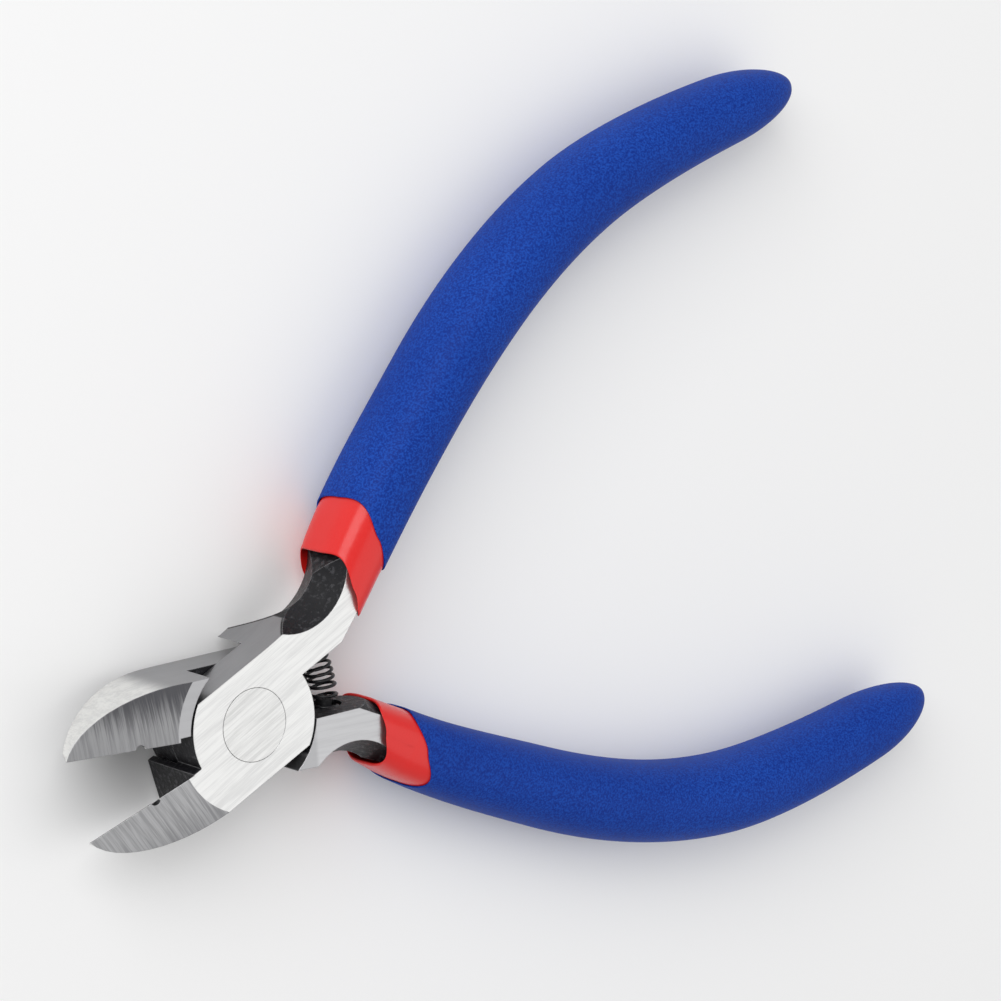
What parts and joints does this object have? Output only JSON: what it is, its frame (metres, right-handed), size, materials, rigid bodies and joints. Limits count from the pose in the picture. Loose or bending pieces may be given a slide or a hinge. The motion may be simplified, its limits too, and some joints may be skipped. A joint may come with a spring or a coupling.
{
  "type": "flush cut pliers",
  "caption": "Small spring-opened flush cutting pliers with lapped forged halves, a flush rivet, wire stripping notches and dipped grips.",
  "frame": {"origin": "on the pivot axis, at the rear ground face of the joint", "axes": "+Z along the pivot axis from the rear joint face to the front one, +X along the middle line of the tool from the jaws to the handle ends, at rest with the jaws open"},
  "size_m": [0.1194, 0.091, 0.0116],
  "materials": {
    "forged_steel": "ground bright on the joint and jaws, black oxide on the forged skin",
    "rivet_steel": "ground flush with the joint face",
    "black_spring_steel": "black oxide, oiled",
    "red_sleeve": "smooth glossy dipped vinyl",
    "blue_grip": "matt foamed vinyl with a fine pebbled skin"
  },
  "bodies": {
    "rear_arm": {"rear_half": "forged_steel", "pivot_rivet": "rivet_steel", "rear_spring_peg": "black_spring_steel", "rear_inner_sleeve": "red_sleeve", "rear_outer_grip": "blue_grip", "return_spring": "black_spring_steel"},
    "front_arm": {"front_half": "forged_steel", "front_spring_peg": "black_spring_steel", "front_inner_sleeve": "red_sleeve", "front_outer_grip": "blue_grip"}
  },
  "joints": [
    {"name": "pivot", "type": "hinge", "parent": "rear_arm", "child": "front_arm", "pos_m": [0, 0, 0.0047], "axis": [0, 0, 1], "range_deg": [-25, 6], "stiffness_Nm_per_rad": 0.35, "deforming": ["return_spring"]}
  ]
}
